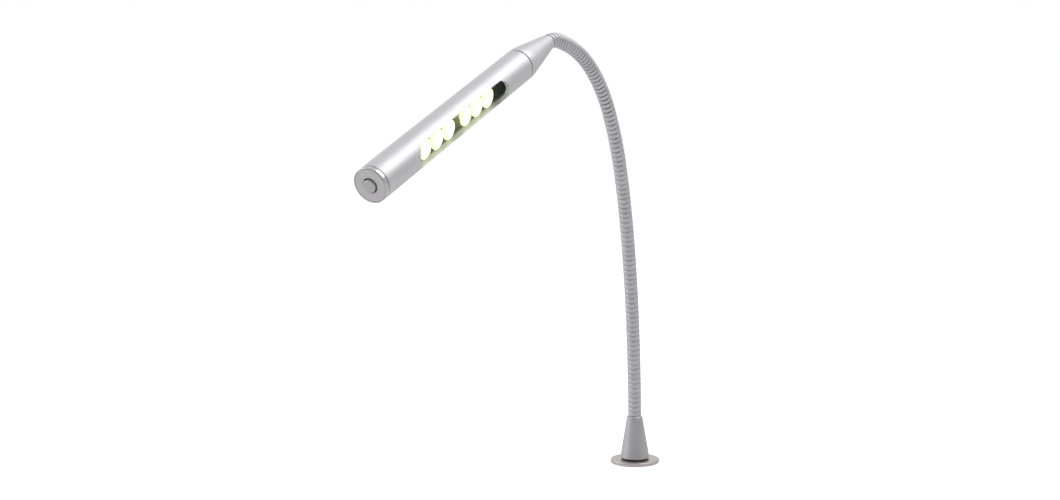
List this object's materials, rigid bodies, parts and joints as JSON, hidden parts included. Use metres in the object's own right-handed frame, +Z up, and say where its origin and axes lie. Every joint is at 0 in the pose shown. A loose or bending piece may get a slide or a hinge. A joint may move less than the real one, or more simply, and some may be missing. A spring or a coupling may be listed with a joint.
{
  "type": "examination lamp",
  "caption": "Examination lamp: a slim tubular LED head on a ribbed gooseneck, with a conical foot and a round flange that is fastened from below.",
  "frame": {"origin": "centre of the flange's underside, at the mouth of its threaded hole", "axes": "+Z up along the foot, +X the way the neck reaches, +Y the side that the window is turned to"},
  "size_m": [0.4199, 0.044, 0.3812],
  "materials": {
    "nickel_flange": "satin, turned",
    "grey_foot": "satin",
    "plain_steel": "satin",
    "brass": "satin",
    "black_plastic": "matte",
    "silver_anodised": "satin anodised",
    "bare_aluminium": "satin",
    "hose_steel": "satin plated",
    "white_lead": "matte",
    "green_board": "gloss",
    "led_phosphor": "gloss",
    "led_lens": "polished, lit",
    "clear_cover": "polished",
    "red_wire": "matte",
    "black_rubber": "matte",
    "grey_face": "matte",
    "grey_button": "satin"
  },
  "bodies": {
    "base": {"base_flange": "nickel_flange", "base_cone": "grey_foot", "base_lock_washer": "plain_steel", "base_end_fitting": "brass", "lead_bush": "black_plastic", "hose_0": "hose_steel", "lead_0": "white_lead"},
    "link_1": {"hose_1": "hose_steel", "lead_1": "white_lead"},
    "link_2": {"hose_2": "hose_steel", "lead_2": "white_lead"},
    "link_3": {"hose_3": "hose_steel", "lead_3": "white_lead"},
    "link_4": {"hose_4": "hose_steel", "lead_4": "white_lead"},
    "link_5": {"hose_5": "hose_steel", "lead_5": "white_lead"},
    "link_6": {"hose_6": "hose_steel", "lead_6": "white_lead"},
    "link_7": {"hose_7": "hose_steel", "lead_7": "white_lead"},
    "cone": {"hose_8": "hose_steel", "lead_8": "white_lead", "head_end_fitting": "brass", "fitting_nut": "plain_steel", "head_cone": "silver_anodised", "swivel_spigot": "brass", "swivel_washer": "black_plastic", "retaining_ring": "plain_steel"},
    "head": {"head_tube": "silver_anodised", "tube_plug": "bare_aluminium", "stop_pin": "plain_steel", "wave_washer": "plain_steel", "heat_sink": "bare_aluminium", "heat_sink_screws": "plain_steel", "led_board": "green_board", "board_parts": "black_plastic", "board_screws": "plain_steel", "led_chips": "led_phosphor", "led_lenses": "led_lens", "window_cover": "clear_cover", "head_lead": "white_lead", "switch_body": "black_plastic", "switch_leads": "red_wire", "end_cap": "silver_anodised", "cap_seal": "black_rubber", "face_disc": "grey_face", "button_spring": "plain_steel"},
    "button": {"push_button": "grey_button"}
  },
  "joints": [
    {"name": "hose_bend_1", "type": "hinge", "parent": "base", "child": "link_1", "pos_m": [0.00039, 0, 0.072], "axis": [0, 1, 0], "range_deg": [-18, 18]},
    {"name": "hose_sway_2", "type": "hinge", "parent": "link_1", "child": "link_2", "pos_m": [0.00279, 0, 0.12194], "axis": [0.9976, 0, -0.0698], "range_deg": [-18, 18]},
    {"name": "hose_bend_3", "type": "hinge", "parent": "link_2", "child": "link_3", "pos_m": [0.00758, 0, 0.1717], "axis": [0, -1, 0], "range_deg": [-18, 18]},
    {"name": "hose_sway_4", "type": "hinge", "parent": "link_3", "child": "link_4", "pos_m": [0.01519, 0, 0.22111], "axis": [-0.9833, 0, 0.1822], "range_deg": [-18, 18]},
    {"name": "hose_bend_5", "type": "hinge", "parent": "link_4", "child": "link_5", "pos_m": [0.02686, 0, 0.26971], "axis": [0, 1, 0], "range_deg": [-18, 18]},
    {"name": "hose_sway_6", "type": "hinge", "parent": "link_5", "child": "link_6", "pos_m": [0.04615, 0, 0.31572], "axis": [0.8746, 0, -0.4848], "range_deg": [-18, 18]},
    {"name": "hose_bend_7", "type": "hinge", "parent": "link_6", "child": "link_7", "pos_m": [0.07476, 0, 0.35012], "axis": [0, -1, 0], "range_deg": [-18, 18]},
    {"name": "hose_sway_8", "type": "hinge", "parent": "link_7", "child": "cone", "pos_m": [0.1097, 0, 0.36909], "axis": [-0.3007, 0, 0.9537], "range_deg": [-18, 18]},
    {"name": "head_swivel", "type": "hinge", "parent": "cone", "child": "head", "pos_m": [0.19828, 0, 0.35307], "axis": [0.9205, 0, -0.3907], "range_deg": [-160, 160]},
    {"name": "button_press", "type": "slide", "parent": "head", "child": "button", "axis": [-0.9205, 0, 0.3907], "range_m": [0, 0.0012], "stiffness_N_per_m": 300, "springref_m": -0.002, "deforming": ["button_spring"]}
  ]
}
